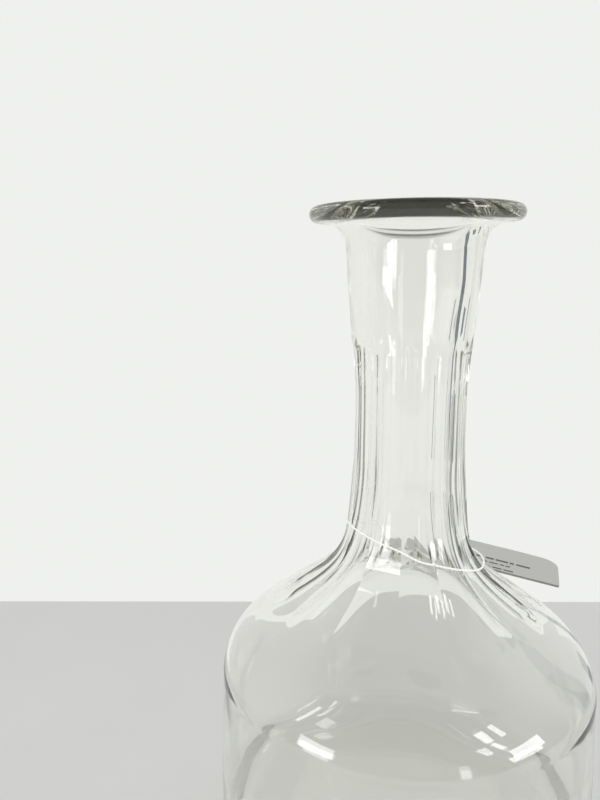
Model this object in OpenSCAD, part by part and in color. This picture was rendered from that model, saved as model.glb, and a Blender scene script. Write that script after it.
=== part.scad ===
// Cut-glass decanter with a tag tied round its neck.
// Millimetres, +Z up. The origin is the centre of the foot, on the surface that it stands on.

/* [Body] */
// Overall height, foot to lip
total_h = 261; // [259:1:270]
// Radius of the flat foot ring's outer edge
foot_r = 65.5; // [62:0.5:68]
// Radius of the body where it is widest, just above the heel
body_r = 75.8; // [74.5:0.1:77]
// Radius of the body where the shoulder starts
body_top_r = 74; // [73:0.1:75]
// Height at which the shoulder starts
body_top_z = 80; // [76:1:82]
// Thickness of the body wall
wall = 3; // [2.5:0.1:3.6]
// Thickness of the floor
floor_t = 10; // [8:0.5:12]
// Rise of the hollow under the foot
hollow_h = 2.5; // [1:0.5:4]

/* [Neck] */
// Radius at the foot of the neck
neck_low_r = 21.8; // [21.4:0.1:22.4]
// Radius at the waist of the neck
waist_r = 21.1; // [20.6:0.1:21.4]
// Radius under the lip
neck_top_r = 24.8; // [24.4:0.1:25.4]
// Radius of the bore through the cut stretch of the neck
bore_r = 15; // [13:0.5:16]
// Radius of the bore at the mouth
mouth_r = 17.5; // [16.5:0.5:18.5]

/* [Lip] */
// Radius of the lip's rim
lip_r = 38.5; // [37:0.5:42]
// Thickness of the rim
lip_t = 6; // [5.4:0.2:6.6]
// How far the mouth flares outwards at the top
flare_w = 14; // [10:0.5:14.5]
// Depth of the flare below the top of the lip
flare_h = 14; // [10:0.5:14.5]

/* [Cutting] */
// Number of flat panels cut round the neck
panels = 12; // [10:1:14]
// How far the panels are turned about the neck's axis
panel_turn = 11; // [0:1:30]
// Cut depth at a panel's middle, as a share of the local radius
cut_share = 0.037; // [0.02:0.001:0.037]

/* [String and tag] */
// Diameter of the string
string_d = 0.8; // [0.6:0.1:1]
// Length of the tag
tag_l = 88; // [80:1:95]
// Width of the tag
tag_w = 28; // [22:1:35]
// Thickness of the card
tag_t = 1.1; // [0.6:0.1:1.2]
// Diameter of the hole for the tie
tag_hole_d = 3.2; // [3:0.1:4]

/* [Hidden] */
$fn = 96;

glass_colour = [0.84, 0.89, 0.86, 0.45];
string_colour = [0.95, 0.95, 0.92];
card_colour = [0.86, 0.86, 0.84];

// Heights at which one gather of glass meets the next
base_top_z = 22;
neck_low_z = 162;
waist_z = 190;
lip_low_z = 244;

// Places along the outline
belly_z = 14;
shoulder_mid = [62.3, 97.5];
inner_mid = [58, 95.5];
ring_r = 48;
floor_edge_r = 60;
floor_rise = 2;
// Where the fillet under the lip ends, and the two places that shape it
lip_root = [31.5, total_h - lip_t - 0.7];
fillet_low = [neck_top_r + 0.26, 248.7];
fillet_high = [neck_top_r + 1.5, lip_root[1] - 0.9];
taper_low_z = 206;
taper_top_z = 237;
// The last of the shoulder's points, where the root of the neck takes over
shoulder_end = 10;

// Panel ends: each fades out over a short run, which arches its end
panel_low_z = 103.5;
panel_low_run = 6;
panel_top_z = 213;
panel_top_run = 4.4;
panel_end_steps = 3;
panel_half_w = 20;
panel_clear = 90;

// The tag: its near inner corner, its turn about Z and its dip towards the outer end
tag_at = [-15, 64.5, 104];
tag_turn = -9.5;
tag_dip = 7.5;
// Radii of the tag's corners: near inner, near outer, far outer, far inner
tag_corner_r = [4, 0.8, 7.5, 4];
hole_u = 14;
hole_v = 4;
knot_at = [hole_u, -3.2, 0.8];
knot_r = 1.2;
knot_sides = 32;

// The string, from the knot round the neck and back to the knot
string_route = [
    [-1, 59, 103], [2, 53, 107], [8, 45.5, 111.6], [15, 37.3, 116], [21.7, 28.8, 119.6],
    [27.2, 18.9, 122.2], [30.2, 8.4, 124], [30.3, -1.5, 125.4], [28.6, -9.4, 126.6],
    [25.6, -15.4, 128.3], [21, -20, 130.2], [16, -23, 132], [11, -24.5, 133.5], [5, -25.5, 135],
    [-3, -25, 138.5], [-11, -22.5, 140.5], [-18.5, -16.5, 142], [-22.5, -10, 142.5],
    [-24.5, -2, 142], [-24, 6.5, 140.5], [-21.5, 14.5, 137.5], [-18, 22.5, 133], [-14.5, 31, 127],
    [-11.5, 38.5, 121], [-8.5, 46, 115], [-5.5, 53, 109], [-3, 59, 103.5]
];
// The tie, in the tag's own frame: length, width and height above the card's upper face
tie_route = [
    [14, -1.1, 0.6], [14, 0.8, 1.3], [14, 2.8, 1.2], [14, 4, 0], [14, 4, -1.2],
    [14, 2.8, -2.2], [14, 0.6, -2.3], [14, -1.2, -1.4], [14, -1.6, -0.3]
];
string_sides = 8;
// Pieces of the curve between two neighbouring points of a route
route_steps = 2;

// A point on a cubic curve with four control points
function curve_at(c, t) =
    pow(1 - t, 3) * c[0] + 3 * pow(1 - t, 2) * t * c[1] + 3 * (1 - t) * t * t * c[2] + pow(t, 3) * c[3];
// The same curve as n chords, without its first point
function curve(c, n) = [for (i = [1 : n]) curve_at(c, i / n)];
// A list in the opposite order
function backwards(list) = [for (i = [len(list) - 1 : -1 : 0]) list[i]];
// The entries of a list from one index to another
function part_of(list, first, last) = [for (i = [first : last]) list[i]];

heel_line = curve([[foot_r, 0], [foot_r + 6, 0], [body_r, 5], [body_r, belly_z]], 8);
belly_line = curve([[body_r, base_top_z], [body_r, 36], [body_top_r + 0.6, 60], [body_top_r, body_top_z]], 6);
shoulder_line = concat(
    curve([[body_top_r, body_top_z], [body_top_r - 0.2, 88.5], [66.2, 94.5], shoulder_mid], 8),
    curve([shoulder_mid, [20.2, 128.9], [25.3, 123.2], [neck_low_r, neck_low_z]], 14)
);
neck_line = concat(
    curve([[neck_low_r, neck_low_z], [neck_low_r - 0.6, 169], [waist_r, 180], [waist_r, waist_z]], 4),
    curve([[waist_r, waist_z], [waist_r, 204], [23.1, 213], [neck_top_r, lip_low_z]], 8)
);
lip_line = concat(
    curve([[neck_top_r, lip_low_z], fillet_low, fillet_high, lip_root], 8),
    [for (a = [-90 : 15 : 90]) [lip_r - lip_t / 2 + lip_t / 2 * cos(a), total_h - lip_t / 2 + lip_t / 2 * sin(a)]]
);

hollow_line = [for (i = [0 : 8]) [ring_r * i / 8, hollow_h * (1 - pow(i / 8, 2))]];
floor_line = concat(
    [[0, floor_t + floor_rise]],
    curve([[0, floor_t + floor_rise], [20, floor_t + floor_rise], [40, floor_t], [floor_edge_r, floor_t]], 6),
    curve([[floor_edge_r, floor_t], [68, floor_t], [body_r - wall, 15], [body_r - wall, base_top_z]], 6)
);
inner_top = [body_top_r - wall, body_top_z];
inner_wall_line = curve([[body_r - wall, base_top_z], [body_r - wall, 36], [inner_top[0] + 0.6, 60], inner_top], 6);
inner_shoulder_line = concat(
    curve([inner_top, [inner_top[0], 87], [63.5, 91.5], inner_mid], 8),
    curve([inner_mid, [29, 114], [bore_r, 124], [bore_r, neck_low_z]], 12)
);
taper_line = concat([[bore_r, taper_low_z]],
    curve([[bore_r, taper_low_z], [bore_r, 216], [mouth_r, 228], [mouth_r, taper_top_z]], 6));
mouth_line = [for (a = [0 : 15 : 90])
    [mouth_r + flare_w * (1 - cos(a)), total_h - flare_h * (1 - sin(a))]];

// The height above the foot to the radius of the outline
radius_table = [for (p = concat([[body_top_r, body_top_z]], shoulder_line, neck_line)) [p[1], p[0]]];
function outline_r(z) = lookup(z, radius_table);
// 0 at a panel's ends and 1 along its length
function panel_fade(z) =
    max(0, min(1, (z - panel_low_z) / panel_low_run, (panel_top_z - z) / panel_top_run));

module turned(points) {
    rotate_extrude() polygon(points);
}

// What cutting removes: one flat face for each panel, curved only along the neck
module panel_cuts() {
    ends = [for (i = [0 : panel_end_steps]) i / panel_end_steps];
    low = [for (t = ends) panel_low_z + panel_low_run * t];
    top = [for (t = ends) panel_top_z - panel_top_run * (1 - t)];
    between = [for (p = concat(shoulder_line, neck_line))
        if (p[1] > panel_low_z + panel_low_run + 1 && p[1] < panel_top_z - panel_top_run - 1) p[1]];
    face = [for (z = concat(low, between, top)) [outline_r(z) * (1 - cut_share * panel_fade(z)), z]];
    for (i = [0 : panels - 1])
        rotate([0, 0, panel_turn + i * 360 / panels])
            rotate([90, 0, 0])
                linear_extrude(height = 2 * panel_half_w, center = true)
                    polygon(concat(face, [[panel_clear, panel_top_z], [panel_clear, panel_low_z]]));
}

module base() {
    color(glass_colour)
        turned(concat(hollow_line, [[foot_r, 0]], heel_line, [[body_r, base_top_z]], backwards(floor_line)));
}

module body_wall() {
    color(glass_colour)
        turned(concat([[body_r - wall, base_top_z], [body_r, base_top_z]], belly_line, backwards(inner_wall_line)));
}

module shoulder() {
    color(glass_colour)
        difference() {
            turned(concat([inner_top, [body_top_r, body_top_z]], part_of(shoulder_line, 0, shoulder_end),
                backwards(part_of(inner_shoulder_line, 0, shoulder_end))));
            panel_cuts();
        }
}

module neck_root() {
    color(glass_colour)
        difference() {
            turned(concat(part_of(shoulder_line, shoulder_end, len(shoulder_line) - 1),
                backwards(part_of(inner_shoulder_line, shoulder_end, len(inner_shoulder_line) - 1))));
            panel_cuts();
        }
}

module neck() {
    color(glass_colour)
        difference() {
            turned(concat([[bore_r, neck_low_z], [neck_low_r, neck_low_z]], neck_line,
                [[mouth_r, lip_low_z]], backwards(taper_line)));
            panel_cuts();
        }
}

module lip() {
    color(glass_colour)
        turned(concat([[mouth_r, lip_low_z], [neck_top_r, lip_low_z]], lip_line, backwards(mouth_line)));
}

// A smooth curve through hand-placed points, with `steps` pieces between neighbours
function through(p, steps) = concat(
    [for (i = [0 : len(p) - 2]) for (s = [0 : steps - 1])
        let (a = p[max(i - 1, 0)], b = p[i], c = p[i + 1], d = p[min(i + 2, len(p) - 1)], t = s / steps)
        0.5 * (2 * b + (c - a) * t + (2 * a - 5 * b + 4 * c - d) * t * t + (3 * b - a - 3 * c + d) * t * t * t)],
    [p[len(p) - 1]]
);
function unit(v) = v / norm(v);

// A closed tube round a line of points; `side` is never along the line
module tube(line, d, side) {
    last = len(line) - 1;
    rings = [for (i = [0 : last])
        let (
            along = unit(line[min(i + 1, last)] - line[max(i - 1, 0)]),
            u = unit(cross(along, side)),
            v = cross(along, u)
        )
        for (k = [0 : string_sides - 1])
            line[i] + d / 2 * (u * cos(k * 360 / string_sides) + v * sin(k * 360 / string_sides))];
    n = string_sides;
    walls = [for (i = [0 : last - 1]) for (k = [0 : n - 1])
        [i * n + k, i * n + (k + 1) % n, (i + 1) * n + (k + 1) % n, (i + 1) * n + k]];
    ends = [[for (k = [n - 1 : -1 : 0]) k], [for (k = [0 : n - 1]) last * n + k]];
    polyhedron(points = rings, faces = [for (f = concat(walls, ends)) backwards(f)], convexity = 6);
}

module string_loop() {
    color(string_colour) tube(through(string_route, route_steps), string_d, [0.1, 0.2, 1]);
}

// Places its children in the tag's own frame
module on_tag() {
    translate(tag_at) rotate([0, tag_dip, tag_turn]) children();
}

module string_knot() {
    color(string_colour)
        on_tag() translate(knot_at) sphere(r = knot_r, $fn = knot_sides);
}

module tag_tie() {
    color(string_colour)
        on_tag() tube(through(tie_route, route_steps), string_d, [1, 0, 0]);
}

module tag_card() {
    corners = [[0, 0], [tag_l, 0], [tag_l, tag_w], [0, tag_w]];
    inward = [[1, 1], [-1, 1], [-1, -1], [1, -1]];
    outline = [for (i = [0 : 3]) for (a = [180 : 15 : 270])
        corners[i] + tag_corner_r[i] * (inward[i] + [cos(a + 90 * i), sin(a + 90 * i)])];
    color(card_colour)
        on_tag() difference() {
            translate([0, 0, -tag_t]) linear_extrude(height = tag_t) polygon(outline);
            translate([hole_u, hole_v, -tag_t - 1]) cylinder(d = tag_hole_d, h = tag_t + 2);
        }
}

base();
body_wall();
shoulder();
neck_root();
neck();
lip();
string_loop();
string_knot();
tag_tie();
tag_card();
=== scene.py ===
import math

import bpy
from mathutils import Matrix, Vector


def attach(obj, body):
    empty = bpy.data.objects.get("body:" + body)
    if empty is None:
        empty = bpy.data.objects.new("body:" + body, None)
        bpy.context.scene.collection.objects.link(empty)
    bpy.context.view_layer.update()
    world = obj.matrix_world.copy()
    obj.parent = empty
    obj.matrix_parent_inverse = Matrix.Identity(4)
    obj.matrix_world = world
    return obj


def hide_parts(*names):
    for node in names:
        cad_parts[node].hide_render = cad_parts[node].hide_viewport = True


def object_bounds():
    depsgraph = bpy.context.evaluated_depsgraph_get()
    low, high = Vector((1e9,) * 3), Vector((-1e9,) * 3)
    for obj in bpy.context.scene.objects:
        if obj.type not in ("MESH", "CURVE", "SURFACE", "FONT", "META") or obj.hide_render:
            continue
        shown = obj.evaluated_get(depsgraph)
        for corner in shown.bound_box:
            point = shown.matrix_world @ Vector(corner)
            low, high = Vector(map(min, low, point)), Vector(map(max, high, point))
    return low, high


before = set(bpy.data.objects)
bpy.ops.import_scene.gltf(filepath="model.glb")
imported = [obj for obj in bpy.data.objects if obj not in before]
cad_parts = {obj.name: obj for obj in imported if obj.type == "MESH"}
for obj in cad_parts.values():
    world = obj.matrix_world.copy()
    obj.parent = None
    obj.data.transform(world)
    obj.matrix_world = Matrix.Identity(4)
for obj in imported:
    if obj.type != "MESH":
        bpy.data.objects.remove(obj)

cad_low, cad_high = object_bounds()
scene = bpy.context.scene

# ---------------------------------------------------------------- measures of the decanter and its tag
# These are in millimetres, as in the part's own drawing; MM turns them into metres.
MM = 0.001

TOTAL_H = cad_high.z / MM
FOOT_R = 65.5
BODY_R = 75.8
BODY_TOP_R = 74.0
BODY_TOP_Z = 80.0
BELLY_Z = 14.0
BASE_TOP_Z = 22.0
WALL = 3.0
FLOOR_T = 10.0
FLOOR_TOP_Z = FLOOR_T + 2.0
FLOOR_EDGE_R = 60.0
HOLLOW_H = 2.5
RING_R = 48.0
NECK_LOW = (21.8, 162.0)
WAIST = (21.1, 190.0)
NECK_TOP = (24.8, 244.0)
SHOULDER_MID = (62.3, 97.5)
INNER_LOW = (BODY_R - WALL, BASE_TOP_Z)
INNER_TOP = (BODY_TOP_R - WALL, BODY_TOP_Z)
INNER_MID = (58.0, 95.5)
BORE_R = 15.0
MOUTH_R = 17.5
TAPER_LOW_Z = 206.0
TAPER_TOP_Z = 237.0
LIP_R = 38.5
LIP_T = 6.0
FLARE_W = 14.0
FLARE_H = 14.0
LIP_ROOT = (31.5, TOTAL_H - LIP_T - 0.7)

# The curves of the outside, from the foot up, each by its four control points as (radius, height)
HEEL = ((FOOT_R, 0.0), (FOOT_R + 6.0, 0.0), (BODY_R, 5.0), (BODY_R, BELLY_Z))
BELLY = ((BODY_R, BASE_TOP_Z), (BODY_R, 36.0), (BODY_TOP_R + 0.6, 60.0), (BODY_TOP_R, BODY_TOP_Z))
SHOULDER = ((BODY_TOP_R, BODY_TOP_Z), (BODY_TOP_R - 0.2, 88.5), (66.2, 94.5), SHOULDER_MID)
NECK_ROOT = (SHOULDER_MID, (20.2, 128.9), (25.3, 123.2), NECK_LOW)
LOWER_NECK = (NECK_LOW, (NECK_LOW[0] - 0.6, 169.0), (WAIST[0], 180.0), WAIST)
UPPER_NECK = (WAIST, (WAIST[0], 204.0), (23.1, 213.0), NECK_TOP)
FILLET = (NECK_TOP, (NECK_TOP[0] + 0.26, 248.7), (NECK_TOP[0] + 1.5, LIP_ROOT[1] - 0.9), LIP_ROOT)
# The curves of the inside, from the middle of the floor up
FLOOR_MIDDLE = ((0.0, FLOOR_TOP_Z), (20.0, FLOOR_TOP_Z), (40.0, FLOOR_T), (FLOOR_EDGE_R, FLOOR_T))
FLOOR_CORNER = ((FLOOR_EDGE_R, FLOOR_T), (68.0, FLOOR_T), (INNER_LOW[0], 15.0), INNER_LOW)
INNER_BELLY = (INNER_LOW, (INNER_LOW[0], 36.0), (INNER_TOP[0] + 0.6, 60.0), INNER_TOP)
INNER_SHOULDER = (INNER_TOP, (INNER_TOP[0], 87.0), (63.5, 91.5), INNER_MID)
INNER_ROOT = (INNER_MID, (29.0, 114.0), (BORE_R, 124.0), (BORE_R, NECK_LOW[1]))
# The taper of the bore, from the mouth down
TAPER = ((MOUTH_R, TAPER_TOP_Z), (MOUTH_R, 228.0), (BORE_R, 216.0), (BORE_R, TAPER_LOW_Z))

PANELS = 12
PANEL_TURN = 11.0
CUT_SHARE = 0.037
PANEL_LOW_Z = 103.5
PANEL_LOW_RUN = 6.0
PANEL_TOP_Z = 213.0
PANEL_TOP_RUN = 4.4
# Points round the vessel: each panel's edges fall on a column of them
COLUMNS = PANELS * 26

STRING_D = 0.8
# The thread: the step between points along it, the points round it, its plies, the furrow between
# them as a share of the radius, and the length in which they turn once round
THREAD_STEP = 0.28
THREAD_SIDES = 12
PLIES = 2
PLY_DEPTH = 0.16
PLY_LAY = 3.2

TAG_AT = Vector((-15.0, 64.5, 104.0))
TAG_TURN = math.radians(-9.5)
TAG_DIP = math.radians(7.5)
TAG_L = 88.0
TAG_W = 28.0
TAG_T = 1.1
# Radii of the tag's corners, by (outer end, far side)
TAG_CORNER_R = {(False, False): 4.0, (True, False): 0.8, (True, True): 7.5, (False, True): 4.0}
TAG_BEVEL = 0.08
# Squares of the tag's mesh, along it and across it
TAG_GRID = (88, 28)
HOLE_U = 14.0
HOLE_V = 4.0
HOLE_D = 3.2
KNOT_AT = Vector((HOLE_U, -3.2, 0.8))
KNOT_STEPS = 96
# How far the ink stands proud of the card, and how far its bars reach into the card
INK_T = 0.03

# Lines of generic bars on the tag: place across the card, height, and each bar's two ends along it
PRINT_LINES = [
    (11.1, 1.7, [(49.0, 51.0), (53.6, 57.4), (58.3, 64.2), (65.1, 67.0), (68.2, 74.6)]),
    (6.7, 1.2, [(51.5, 54.6), (55.4, 59.6), (60.6, 62.4), (63.2, 65.3)]),
    (2.0, 1.2, [(54.2, 56.2), (57.2, 61.5), (62.4, 66.9)]),
]

# The route of the part's own string, from the knot round the neck and back to the knot
STRING_ROUTE = [
    (-1, 59, 103), (2, 53, 107), (8, 45.5, 111.6), (15, 37.3, 116), (21.7, 28.8, 119.6),
    (27.2, 18.9, 122.2), (30.2, 8.4, 124), (30.3, -1.5, 125.4), (28.6, -9.4, 126.6),
    (25.6, -15.4, 128.3), (21, -20, 130.2), (16, -23, 132), (11, -24.5, 133.5), (5, -25.5, 135),
    (-3, -25, 138.5), (-11, -22.5, 140.5), (-18.5, -16.5, 142), (-22.5, -10, 142.5),
    (-24.5, -2, 142), (-24, 6.5, 140.5), (-21.5, 14.5, 137.5), (-18, 22.5, 133), (-14.5, 31, 127),
    (-11.5, 38.5, 121), (-8.5, 46, 115), (-5.5, 53, 109), (-3, 59, 103.5),
]
# The tie through the hole, in the tag's own frame
TIE_ROUTE = [
    (14, -1.1, 0.6), (14, 0.8, 1.3), (14, 2.8, 1.2), (14, 4, 0), (14, 4, -1.2),
    (14, 2.8, -2.2), (14, 0.6, -2.3), (14, -1.2, -1.4), (14, -1.6, -0.3),
]
# The two cut ends, from the middle of the knot
TAILS = {
    "string_tail_long": [(0, 0, 0.3), (-1.6, -0.8, 0.6), (-3.6, -0.6, 0.2), (-5.4, -1.6, -0.6)],
    "string_tail_short": [(0, 0, 0.3), (1.2, -1.6, 0.6), (2.6, -2.4, 0.0), (3.4, -3.8, -0.7)],
}

# ---------------------------------------------------------------- measures of the stage, in metres
CAMERA_AT = (0.0, -0.258, 0.2427)
# Degrees down, to the left and about the line of sight
CAMERA_PITCH = 11.79
CAMERA_YAW = 9.4
CAMERA_ROLL = -0.32
CAMERA_LENS = 30.6

# The table: its near edge, its far edge y = TABLE_BACK + TABLE_SLOPE * x, half its width, its thickness
TABLE_FRONT = -0.8
TABLE_BACK = 0.1977
TABLE_SLOPE = 0.1515
TABLE_REACH = 1.6
TABLE_T = 0.02

WALL_TONE = (0.87, 0.88, 0.855)
ROOM_DARK = (0.2, 0.2, 0.18)
CEILING_DARK = (0.2, 0.2, 0.19)
# The bright wall's direction, and where the dark room turns into it, from 0 (behind) to 1 (facing it)
WALL_FACING = (-0.25, 0.97, 0.0)
WALL_EDGE = (0.44, 0.56)
# Where the walls turn into the ceiling, from 0 (straight down) to 1 (straight up)
CEILING_EDGE = (0.84, 0.94)

# What the windows and the flags look at, and how far away they are
AIM = Vector((0.0, 0.0, 0.12))
WINDOW_AWAY = 1.8
FLAG_AWAY = 0.95
# Each window: azimuth and elevation in degrees, (width, height), radiance
WINDOWS = {
    "window_left": (-45, 10, (0.62, 0.55), 7.0),
    "window_left_low": (-44, -3, (0.45, 0.25), 3.0),
    "window_right": (33, 6, (0.17, 0.75), 3.0),
    "window_far_right": (70, 15, (0.6, 0.42), 9.0),
    "lamp_left": (-52, 43, (0.16, 0.34), 4.0),
    "lamp_right": (56, 43, (0.16, 0.34), 9.0),
    "lamp_far_right": (67, 43, (0.10, 0.34), 9.0),
}
# Each flag: azimuth and elevation in degrees, (width, height), width at its top as a share
FLAGS = {
    "flag_right": (118, 0, (0.20, 1.0), 0.7),
    "flag_mid": (136, -11, (0.12, 0.21), 1.0),
    "flag_back": (149, -9, (0.05, 0.27), 1.0),
}


# ---------------------------------------------------------------- small tools
def new_object(name, verts, faces, material, smooth_angle=None):
    mesh = bpy.data.meshes.new(name)
    mesh.from_pydata([tuple(v) for v in verts], [], faces)
    mesh.validate()
    mesh.materials.append(material)
    mesh.shade_smooth()
    if smooth_angle is not None:
        mesh.set_sharp_from_angle(angle=math.radians(smooth_angle))
    obj = bpy.data.objects.new(name, mesh)
    scene.collection.objects.link(obj)
    return obj


def curve_points(c, n):
    """n points along a cubic with four control points, without the first one."""
    points = []
    for i in range(1, n + 1):
        t = i / n
        w = ((1 - t) ** 3, 3 * (1 - t) ** 2 * t, 3 * (1 - t) * t * t, t ** 3)
        points.append((sum(w[k] * c[k][0] for k in range(4)), sum(w[k] * c[k][1] for k in range(4))))
    return points


def through(points, steps):
    """A smooth line through given points."""
    line = []
    last = len(points) - 1
    for i in range(last):
        a, b = Vector(points[max(i - 1, 0)]), Vector(points[i])
        c, d = Vector(points[i + 1]), Vector(points[min(i + 2, last)])
        for s in range(steps):
            t = s / steps
            line.append(0.5 * (2 * b + (c - a) * t + (2 * a - 5 * b + 4 * c - d) * t * t
                               + (3 * b - a - 3 * c + d) * t ** 3))
    line.append(Vector(points[last]))
    return line


def length_of(line):
    return sum((b - a).length for a, b in zip(line, line[1:]))


def even(line, step):
    """The same line with points an even step apart."""
    total = length_of(line)
    count = max(2, round(total / step))
    result, walked, i = [line[0]], 0.0, 0
    for k in range(1, count):
        target = total * k / count
        while walked + (line[i + 1] - line[i]).length < target:
            walked += (line[i + 1] - line[i]).length
            i += 1
        share = (target - walked) / (line[i + 1] - line[i]).length
        result.append(line[i].lerp(line[i + 1], share))
    result.append(line[-1])
    return result


def tag_place():
    """The tag's own frame, in millimetres: length, width and height above the card's upper face."""
    turn = Matrix.Rotation(TAG_TURN, 4, "Z") @ Matrix.Rotation(TAG_DIP, 4, "Y")
    return Matrix.Translation(TAG_AT) @ turn


def bow(u, v):
    """How far the card is off its plane: its far outer corner curls down a little."""
    x, y = u / TAG_L, v / TAG_W
    return -10.8 * max(0.0, x - 0.72) ** 2 * max(0.0, y - 0.25) ** 1.5


def on_card(place, u, v, z):
    """A point on the bowed card, in metres."""
    return (place @ Vector((u, v, z + bow(u, v)))) * MM


# ---------------------------------------------------------------- materials
def new_material(name, kind="ShaderNodeBsdfPrincipled"):
    """A material of one shader: the material, its tree, the shader and the output."""
    material = bpy.data.materials.new(name)
    material.use_nodes = True
    tree = material.node_tree
    tree.nodes.clear()
    output = tree.nodes.new("ShaderNodeOutputMaterial")
    shader = tree.nodes.new(kind)
    tree.links.new(shader.outputs["BSDF"], output.inputs["Surface"])
    return material, tree, shader, output


def noise(tree, scale, detail=2.0):
    """Cloudy noise that is fixed to the object."""
    place = tree.nodes.new("ShaderNodeTexCoord")
    texture = tree.nodes.new("ShaderNodeTexNoise")
    texture.inputs["Scale"].default_value = scale
    texture.inputs["Detail"].default_value = detail
    tree.links.new(place.outputs["Object"], texture.inputs["Vector"])
    return texture.outputs["Fac"]


def ramp(tree, value, low, high, ends=(0.0, 1.0)):
    """The colour `low` up to the first of two values, `high` from the second on, and blends between."""
    node = tree.nodes.new("ShaderNodeValToRGB")
    for element, at, colour in zip(node.color_ramp.elements, ends, (low, high)):
        element.position = at
        element.color = (*colour, 1.0)
    tree.links.new(value, node.inputs["Fac"])
    return node.outputs["Color"]


def relief(tree, shader, height, strength, distance):
    bump = tree.nodes.new("ShaderNodeBump")
    bump.inputs["Strength"].default_value = strength
    bump.inputs["Distance"].default_value = distance
    tree.links.new(height, bump.inputs["Height"])
    tree.links.new(bump.outputs["Normal"], shader.inputs["Normal"])


def either_ray(tree, first, second):
    """1 for rays of either of two kinds, 0 for all others."""
    path = tree.nodes.new("ShaderNodeLightPath")
    either = tree.nodes.new("ShaderNodeMath")
    either.operation = "MAXIMUM"
    tree.links.new(path.outputs[first], either.inputs[0])
    tree.links.new(path.outputs[second], either.inputs[1])
    return either.outputs["Value"]


def glass_material():
    material, tree, shader, output = new_material("old_glass")
    nodes, links = tree.nodes, tree.links
    shader.inputs["Base Color"].default_value = (0.996, 0.997, 0.99, 1.0)
    # the little that is not let through is the haze of an old, worn surface
    shader.inputs["Transmission Weight"].default_value = 0.989
    shader.inputs["IOR"].default_value = 1.52
    shader.inputs["Roughness"].default_value = 0.0
    # light reaches what stands behind the glass without a caustic of its own
    clear = nodes.new("ShaderNodeBsdfTransparent")
    clear.inputs["Color"].default_value = (0.998, 0.999, 0.998, 1.0)
    mix = nodes.new("ShaderNodeMixShader")
    links.new(either_ray(tree, "Is Shadow Ray", "Is Diffuse Ray"), mix.inputs["Fac"])
    links.new(shader.outputs["BSDF"], mix.inputs[1])
    links.new(clear.outputs["BSDF"], mix.inputs[2])
    links.new(mix.outputs["Shader"], output.inputs["Surface"])
    # slow ripples left by blowing
    relief(tree, shader, noise(tree, 34.0, 1.5), 0.10, 0.002)
    absorb = nodes.new("ShaderNodeVolumeAbsorption")
    absorb.inputs["Color"].default_value = (0.66, 0.66, 0.50, 1.0)
    absorb.inputs["Density"].default_value = 10.0
    links.new(absorb.outputs["Volume"], output.inputs["Volume"])
    return material


def string_material():
    material, tree, shader, _ = new_material("white_thread")
    shader.inputs["Roughness"].default_value = 0.55
    shader.inputs["Sheen Weight"].default_value = 0.3
    fibres = noise(tree, 2600.0)
    tree.links.new(ramp(tree, fibres, (0.80, 0.80, 0.77), (0.98, 0.98, 0.96)), shader.inputs["Base Color"])
    relief(tree, shader, fibres, 0.3, 0.0001)
    return material


def card_material():
    material, tree, shader, _ = new_material("paperboard")
    nodes, links = tree.nodes, tree.links
    shader.inputs["Roughness"].default_value = 0.6
    fibres = noise(tree, 900.0, 4.0)
    tones = ramp(tree, fibres, (0.42, 0.42, 0.41), (0.47, 0.47, 0.46))
    # painted shade: the cut edges of the board are darkened in its colour, standing in for the shade they
    # sit in; the faces keep their tone
    place = nodes.new("ShaderNodeTexCoord")
    facing = nodes.new("ShaderNodeVectorMath")
    facing.operation = "DOT_PRODUCT"
    facing.inputs[1].default_value = tag_place().to_3x3() @ Vector((0.0, 0.0, 1.0))
    links.new(place.outputs["Normal"], facing.inputs[0])
    flat = nodes.new("ShaderNodeMath")
    flat.operation = "ABSOLUTE"
    links.new(facing.outputs["Value"], flat.inputs[0])
    # the painted shade: side faces get 0.45 of the board's tone, faces keep all of it
    shade = nodes.new("ShaderNodeMapRange")
    shade.inputs["From Min"].default_value = 0.3
    shade.inputs["From Max"].default_value = 0.9
    shade.inputs["To Min"].default_value = 0.45
    links.new(flat.outputs["Value"], shade.inputs["Value"])
    shade_painted_tones = nodes.new("ShaderNodeVectorMath")
    shade_painted_tones.operation = "SCALE"
    links.new(tones, shade_painted_tones.inputs[0])
    links.new(shade.outputs["Result"], shade_painted_tones.inputs["Scale"])
    links.new(shade_painted_tones.outputs["Vector"], shader.inputs["Base Color"])
    relief(tree, shader, fibres, 0.15, 0.0002)
    return material


def ink_material():
    material, tree, shader, _ = new_material("grey_ink")
    shader.inputs["Roughness"].default_value = 0.7
    patches = noise(tree, 1400.0)
    tree.links.new(ramp(tree, patches, (0.045,) * 3, (0.14,) * 3), shader.inputs["Base Color"])
    return material


def table_material():
    material, tree, shader, _ = new_material("pale_table")
    shader.inputs["Roughness"].default_value = 0.6
    cloud = noise(tree, 9.0, 5.0)
    tree.links.new(ramp(tree, cloud, (0.585,) * 3, (0.63,) * 3), shader.inputs["Base Color"])
    return material


def flag_material():
    material, _, shader, _ = new_material("dark_flag", "ShaderNodeBsdfDiffuse")
    shader.inputs["Color"].default_value = (0.15, 0.175, 0.21, 1.0)
    return material


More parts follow.
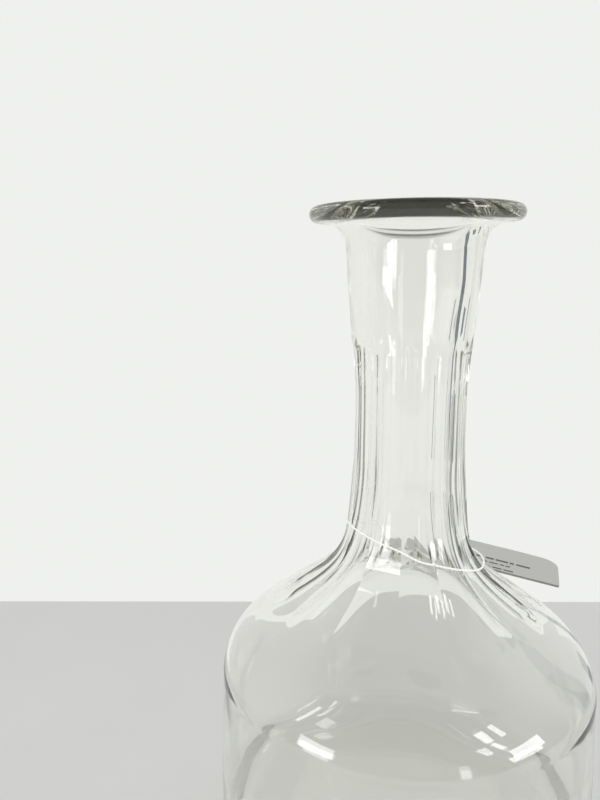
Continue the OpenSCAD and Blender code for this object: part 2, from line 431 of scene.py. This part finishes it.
# ---------------------------------------------------------------- string
def twisted_thread(name, line, diameter, material):
    """A thread of plies laid round each other, along a line in millimetres."""
    line = even(line, THREAD_STEP)
    verts, faces = [], []
    last = len(line) - 1
    sides = THREAD_SIDES
    u = (line[1] - line[0]).normalized().orthogonal().normalized()
    walked = 0.0
    for i, point in enumerate(line):
        along = (line[min(i + 1, last)] - line[max(i - 1, 0)]).normalized()
        u = (u - along * u.dot(along)).normalized()
        v = along.cross(u)
        if i:
            walked += (point - line[i - 1]).length
        turn = 2 * math.pi * walked / PLY_LAY
        for k in range(sides):
            a = 2 * math.pi * k / sides
            r = diameter / 2 * (1 - PLY_DEPTH + PLY_DEPTH * math.cos(PLIES * (a - turn)))
            verts.append((point + (u * math.cos(a) + v * math.sin(a)) * r) * MM)
    for i in range(last):
        for k in range(sides):
            a, b = i * sides + k, i * sides + (k + 1) % sides
            faces.append((a, b, b + sides, a + sides))
    faces.append(tuple(range(sides - 1, -1, -1)))
    faces.append(tuple(last * sides + k for k in range(sides)))
    return new_object(name, verts, faces, material)


def knot_line(centre):
    """An overhand knot: a trefoil, drawn tight."""
    line = []
    for i in range(KNOT_STEPS + 1):
        t = 2 * math.pi * i / KNOT_STEPS
        line.append(centre + Vector((
            (math.sin(t) + 2 * math.sin(2 * t)) * 0.28,
            (math.cos(t) - 2 * math.cos(2 * t)) * 0.28,
            -math.sin(3 * t) * 0.45)))
    return line


def make_string(thread):
    route = through(STRING_ROUTE, 8)
    loop = twisted_thread("string_round_neck", route, STRING_D, thread)
    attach(loop, "string")
    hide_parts("string_loop")

    place = tag_place()
    centre = place @ KNOT_AT
    # drawn tight and cut, the string is thinner in the knot and at its ends
    knot = twisted_thread("string_knot_turns", knot_line(centre), STRING_D * 0.95, thread)
    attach(knot, "string")
    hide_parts("string_knot")
    for name, points in TAILS.items():
        line = through([centre + Vector(p) for p in points], 6)
        tail = twisted_thread(name, line, STRING_D * 0.9, thread)
        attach(tail, "string")

    tie_line = through([place @ Vector(p) for p in TIE_ROUTE], 8)
    tie = twisted_thread("tie_through_hole", tie_line, STRING_D, thread)
    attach(tie, "tag")
    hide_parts("tag_tie")


# ---------------------------------------------------------------- tag
def rounded(u, v):
    """Moves a place near one of the tag's square corners to where the corner is round."""
    r = TAG_CORNER_R[(u > TAG_L / 2, v > TAG_W / 2)]
    cu = min(max(u, r), TAG_L - r)
    cv = min(max(v, r), TAG_W - r)
    du, dv = u - cu, v - cv
    if du and dv:
        grow = max(abs(du), abs(dv)) / math.hypot(du, dv)
        return cu + du * grow, cv + dv * grow
    return u, v


def outside_hole(u, v, radius):
    """Moves a place inside the tag's hole to the hole's edge."""
    du, dv = u - HOLE_U, v - HOLE_V
    away = math.hypot(du, dv)
    if away < radius:
        return HOLE_U + du / max(away, 1e-6) * radius, HOLE_V + dv / max(away, 1e-6) * radius
    return u, v


def make_tag(material):
    place = tag_place()
    steps_u, steps_v = TAG_GRID
    verts, faces = [], []
    # four layers, as (height, inset): the upper face, the two rims of the edge and the lower face
    layers = ((0.0, TAG_BEVEL), (-TAG_BEVEL, 0.0), (-TAG_T + TAG_BEVEL, 0.0), (-TAG_T, TAG_BEVEL))
    for z, inset in layers:
        for j in range(steps_v + 1):
            for i in range(steps_u + 1):
                u = inset + (TAG_L - 2 * inset) * i / steps_u
                v = inset + (TAG_W - 2 * inset) * j / steps_v
                u, v = outside_hole(*rounded(u, v), HOLE_D / 2 + inset)
                verts.append(on_card(place, u, v, z))
    row = steps_u + 1
    layer = row * (steps_v + 1)

    def in_hole(i, j):
        u, v = TAG_L * (i + 0.5) / steps_u, TAG_W * (j + 0.5) / steps_v
        return math.hypot(u - HOLE_U, v - HOLE_V) < HOLE_D / 2 + 0.1

    kept = {(i, j) for i in range(steps_u) for j in range(steps_v) if not in_hole(i, j)}
    # each side of a square: the neighbour's place, and the two corners that they share
    sides = {(-1, 0): (row, 0), (1, 0): (1, row + 1), (0, -1): (0, 1), (0, 1): (row + 1, row)}
    for i, j in kept:
        a = j * row + i
        faces.append((a, a + 1, a + 1 + row, a + row))
        b = a + 3 * layer
        faces.append((b + row, b + 1 + row, b + 1, b))
        for (di, dj), (p, q) in sides.items():
            if (i + di, j + dj) not in kept:
                for k in range(3):
                    p0, q0 = a + p + k * layer, a + q + k * layer
                    faces.append((q0, p0, p0 + layer, q0 + layer))
    used = sorted({k for f in faces for k in f})
    number = {old: new for new, old in enumerate(used)}
    verts = [verts[k] for k in used]
    faces = [tuple(number[k] for k in f) for f in faces]
    card = new_object("swing_tag", verts, faces, material, smooth_angle=40)
    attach(card, "tag")
    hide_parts("tag_card")


def make_print(material):
    """Three lines of plain grey bars, where a tag has its small print."""
    place = tag_place()
    verts, faces = [], []
    for v, tall, bars in PRINT_LINES:
        low, high = v - tall / 2, v + tall / 2
        for start, stop in bars:
            corners = ((start, low), (stop, low), (stop, high), (start, high))
            first = len(verts)
            for z in (INK_T, -INK_T):
                verts += [on_card(place, a, b, z) for a, b in corners]
            faces.append(tuple(first + k for k in (0, 1, 2, 3)))
            faces.append(tuple(first + k for k in (7, 6, 5, 4)))
            for k in range(4):
                n = (k + 1) % 4
                faces.append((first + k, first + k + 4, first + n + 4, first + n))
    lines = new_object("tag_print", verts, faces, material, smooth_angle=20)
    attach(lines, "tag")


# ---------------------------------------------------------------- glass
def outer_outline():
    """The outside from the edge of the foot to the top of the lip, as (radius, height)."""
    r = LIP_T / 2
    turns = [math.radians(a) for a in range(-90, 91, 9)]
    lip = [(LIP_R - r + r * math.cos(a), TOTAL_H - r + r * math.sin(a)) for a in turns]
    return (
        [HEEL[0]] + curve_points(HEEL, 26)
        + [(BODY_R, 17.0), (BODY_R, 20.0)] + curve_points(BELLY, 24)
        + curve_points(SHOULDER, 28) + curve_points(NECK_ROOT, 120)
        + curve_points(LOWER_NECK, 24) + curve_points(UPPER_NECK, 90)
        + curve_points(FILLET, 20) + lip
    )


def inner_outline():
    """The inside from the top of the lip down and in to the floor, without the floor's middle."""
    turns = [math.radians(a) for a in range(90, -1, -5)]
    mouth = [(MOUTH_R + FLARE_W * (1 - math.cos(a)), TOTAL_H - FLARE_H * (1 - math.sin(a))) for a in turns]
    bore = [(MOUTH_R, 241.0), (MOUTH_R, TAPER_TOP_Z)] + curve_points(TAPER, 20)
    bore += [(BORE_R, z) for z in (196.0, 185.0, 174.0)]
    shoulder = curve_points(INNER_SHOULDER, 28) + curve_points(INNER_ROOT, 80)
    wall = curve_points(INNER_BELLY, 24)
    floor = curve_points(FLOOR_MIDDLE, 24) + curve_points(FLOOR_CORNER, 24)
    return mouth + bore + shoulder[::-1] + wall[::-1] + floor[::-1]


def hollow_outline(steps=16):
    """The hollow under the foot from near its middle outwards."""
    return [(RING_R * i / steps, HOLLOW_H * (1 - (i / steps) ** 2)) for i in range(1, steps + 1)]


def panel_fade(z):
    """0 at a panel's ends and 1 along its length."""
    return max(0.0, min(1.0, (z - PANEL_LOW_Z) / PANEL_LOW_RUN, (PANEL_TOP_Z - z) / PANEL_TOP_RUN))


def make_glass(material):
    """The fused vessel as one closed skin: hollow, outside, inside and floor, with flat panels cut in it."""
    rings = [(r, z, False) for r, z in hollow_outline()]
    rings += [(r, z, PANEL_LOW_Z < z < PANEL_TOP_Z) for r, z in outer_outline()]
    rings += [(r, z, False) for r, z in inner_outline()]
    verts, faces = [], []
    # half a panel's width, in degrees
    half = 180.0 / PANELS
    for r, z, cut in rings:
        flat = r * (1 - CUT_SHARE * panel_fade(z))
        for k in range(COLUMNS):
            a = PANEL_TURN - half + 360.0 * k / COLUMNS
            off = (a - PANEL_TURN + half) % (2 * half) - half
            here = min(r, flat / math.cos(math.radians(off))) if cut else r
            x, y = here * math.cos(math.radians(a)), here * math.sin(math.radians(a))
            verts.append((x * MM, y * MM, z * MM))
    for i in range(len(rings) - 1):
        for k in range(COLUMNS):
            a, b = i * COLUMNS + k, i * COLUMNS + (k + 1) % COLUMNS
            faces.append((a, b, b + COLUMNS, a + COLUMNS))
    under, over = len(verts), len(verts) + 1
    verts += [(0.0, 0.0, HOLLOW_H * MM), (0.0, 0.0, FLOOR_TOP_Z * MM)]
    last = (len(rings) - 1) * COLUMNS
    for k in range(COLUMNS):
        nxt = (k + 1) % COLUMNS
        faces.append((nxt, k, under))
        faces.append((last + k, last + nxt, over))
    glass = new_object("decanter_glass", verts, faces, material, smooth_angle=14)
    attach(glass, "glass")
    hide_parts("base", "body_wall", "shoulder", "neck_root", "neck", "lip")


# ---------------------------------------------------------------- camera, table, light and surroundings
def make_camera():
    pitch, yaw, roll = math.radians(CAMERA_PITCH), math.radians(CAMERA_YAW), math.radians(CAMERA_ROLL)
    ahead = Vector((-math.sin(yaw) * math.cos(pitch), math.cos(yaw) * math.cos(pitch), -math.sin(pitch)))
    right = Vector((math.cos(yaw), math.sin(yaw), 0.0))
    up = right.cross(ahead)
    x_axis = right * math.cos(roll) + up * math.sin(roll)
    y_axis = up * math.cos(roll) - right * math.sin(roll)
    data = bpy.data.cameras.new("camera")
    data.sensor_width = 36.0
    data.lens = CAMERA_LENS
    data.clip_start = 0.01
    data.clip_end = 50.0
    camera = bpy.data.objects.new("camera", data)
    turn = Matrix((x_axis, y_axis, -ahead)).transposed().to_4x4()
    camera.matrix_world = Matrix.Translation(CAMERA_AT) @ turn
    scene.collection.objects.link(camera)
    scene.camera = camera


def make_table():
    lift = TABLE_REACH * TABLE_SLOPE
    top = [(-TABLE_REACH, TABLE_FRONT), (TABLE_REACH, TABLE_FRONT),
           (TABLE_REACH, TABLE_BACK + lift), (-TABLE_REACH, TABLE_BACK - lift)]
    verts = [(x, y, 0.0) for x, y in top] + [(x, y, -TABLE_T) for x, y in top]
    faces = [(0, 1, 2, 3), (7, 6, 5, 4)] + [(i, i + 4, (i + 1) % 4 + 4, (i + 1) % 4) for i in range(4)]
    table = new_object("table", verts, faces, table_material(), smooth_angle=20)


def make_world():
    """A plain pale surround; the glass sees a room, with a bright wall ahead, dark behind and above."""
    world = bpy.data.worlds.new("room")
    scene.world = world
    world.use_nodes = True
    tree = world.node_tree
    nodes, links = tree.nodes, tree.links
    nodes.clear()
    output = nodes.new("ShaderNodeOutputWorld")
    place = nodes.new("ShaderNodeTexCoord")

    def ramp_of_cosine(value, low, high, ends):
        """A ramp over a value from -1 to 1, whose ends are given from 0 to 1."""
        shift = nodes.new("ShaderNodeMapRange")
        shift.inputs["From Min"].default_value = -1.0
        shift.inputs["From Max"].default_value = 1.0
        links.new(value, shift.inputs["Value"])
        return ramp(tree, shift.outputs["Result"], low, high, ends)

    ahead = nodes.new("ShaderNodeVectorMath")
    ahead.operation = "DOT_PRODUCT"
    ahead.inputs[1].default_value = WALL_FACING
    links.new(place.outputs["Generated"], ahead.inputs[0])
    split = nodes.new("ShaderNodeSeparateXYZ")
    links.new(place.outputs["Generated"], split.inputs["Vector"])
    walls = ramp_of_cosine(ahead.outputs["Value"], ROOM_DARK, WALL_TONE, WALL_EDGE)
    ceiling = ramp_of_cosine(split.outputs["Z"], (1.0, 1.0, 1.0), CEILING_DARK, CEILING_EDGE)
    both = nodes.new("ShaderNodeVectorMath")
    both.operation = "MULTIPLY"
    links.new(walls, both.inputs[0])
    links.new(ceiling, both.inputs[1])
    room = nodes.new("ShaderNodeBackground")
    links.new(both.outputs["Vector"], room.inputs["Color"])
    plain = nodes.new("ShaderNodeBackground")
    plain.inputs["Color"].default_value = (*WALL_TONE, 1.0)
    pick = nodes.new("ShaderNodeMixShader")
    links.new(either_ray(tree, "Is Camera Ray", "Is Diffuse Ray"), pick.inputs["Fac"])
    links.new(room.outputs["Background"], pick.inputs[1])
    links.new(plain.outputs["Background"], pick.inputs[2])
    links.new(pick.outputs["Shader"], output.inputs["Surface"])


def around(azimuth, elevation, distance):
    """A place round the decanter: azimuth from the side seen first (-Y) towards +X, in degrees."""
    a, e = math.radians(azimuth), math.radians(elevation)
    outward = Vector((math.cos(e) * math.sin(a), -math.cos(e) * math.cos(a), math.sin(e)))
    return outward * distance + AIM


def make_window(name, azimuth, elevation, size, radiance):
    """A soft light that shines on the decanter and shows in the glass, but never to the camera itself."""
    data = bpy.data.lights.new(name, "AREA")
    data.shape = "RECTANGLE"
    data.size, data.size_y = size
    data.energy = radiance * math.pi * size[0] * size[1]
    light = bpy.data.objects.new(name, data)
    light.location = around(azimuth, elevation, WINDOW_AWAY)
    light.visible_camera = False
    light.rotation_mode = "QUATERNION"
    light.rotation_quaternion = (AIM - light.location).to_track_quat("-Z", "Y")
    scene.collection.objects.link(light)


def make_flag(name, material, azimuth, elevation, size, top):
    """A dark card that only the glass sees: it gives the thick neck a dark line."""
    centre = around(azimuth, elevation, FLAG_AWAY)
    outward = (centre - AIM).normalized()
    across = Vector((0.0, 0.0, 1.0)).cross(outward).normalized() * size[0] / 2
    upward = outward.cross(across).normalized() * size[1] / 2
    corners = [centre + across * i + upward * j for i, j in ((-1, -1), (1, -1), (top, 1), (-top, 1))]
    card = new_object(name, corners, [(0, 1, 2, 3)], material)
    card.visible_camera = False
    card.visible_diffuse = False
    card.visible_shadow = False


# ---------------------------------------------------------------- the scene
make_camera()
make_string(string_material())
make_tag(card_material())
make_print(ink_material())
make_glass(glass_material())
make_table()
make_world()
for window_name, window_values in WINDOWS.items():
    make_window(window_name, *window_values)
DARK = flag_material()
for flag_name, flag_values in FLAGS.items():
    make_flag(flag_name, DARK, *flag_values)

scene.view_settings.view_transform = "Standard"
scene.cycles.max_bounces = 40
scene.cycles.transmission_bounces = 40
scene.cycles.glossy_bounces = 8
